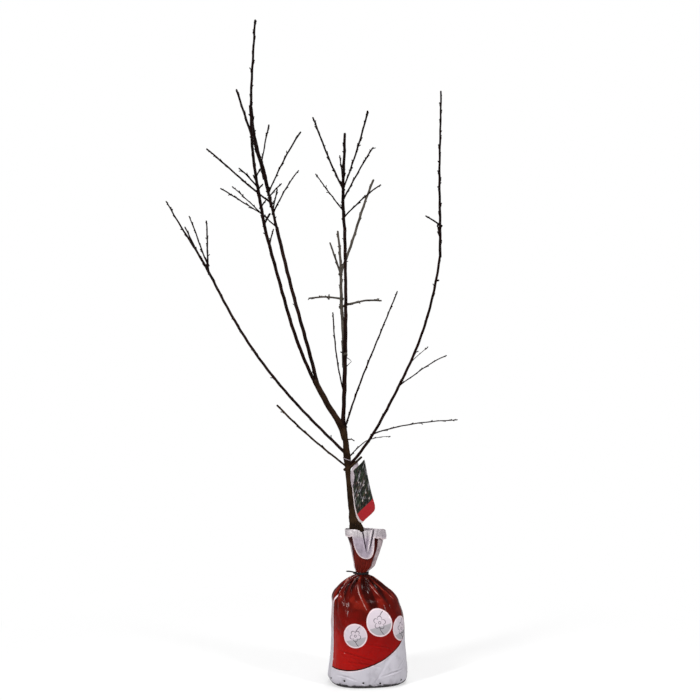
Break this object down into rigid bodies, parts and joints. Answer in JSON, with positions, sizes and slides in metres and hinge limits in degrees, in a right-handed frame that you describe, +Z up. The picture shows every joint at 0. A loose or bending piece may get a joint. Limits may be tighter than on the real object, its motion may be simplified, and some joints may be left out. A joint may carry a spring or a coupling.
{
  "type": "bare almond tree with bagged root ball",
  "caption": "Young leafless almond tree with an open vase of thin limbs, standing on a tied plastic root-ball bag with a hanging label.",
  "frame": {"origin": "the middle of the bag's flat underside", "axes": "+Z up along the trunk, +X to the right as seen from the front, and the front of the bag faces -Y"},
  "size_m": [0.7265, 0.4211, 1.5427],
  "materials": {
    "bag_film": "glossy creased film",
    "collar_film": "glossy creased film",
    "tie": "satin",
    "bark": "rough young bark",
    "grey_bark": "rough young bark",
    "twigs": "smooth thin bark",
    "grey_twigs": "smooth thin bark",
    "label": "coated card",
    "strap": "satin"
  },
  "bodies": {
    "root": {"root_bag": "bag_film", "bag_collar": "collar_film", "cable_tie": "tie", "trunk": "bark", "bough_twin_base": "bark", "bough_twin_left": "bark", "bough_twin_right": "bark", "bough_left": "bark", "bough_right": "bark", "bough_centre": "bark", "bough_back": "grey_bark", "twig_twin_left": "bark", "twig_long_right": "bark", "twig_low_left": "bark", "twig_low_right": "bark", "cut_stub": "bark", "twig_inner": "bark", "twig_side_right": "bark", "twig_mid_right": "bark", "twig_far_right": "bark", "crown_left": "twigs", "crown_twin_left": "twigs", "crown_twin_right": "twigs", "crown_centre": "twigs", "crown_back": "grey_twigs", "crown_right": "twigs", "label_card": "label", "label_strap": "strap"}
  },
  "joints": []
}
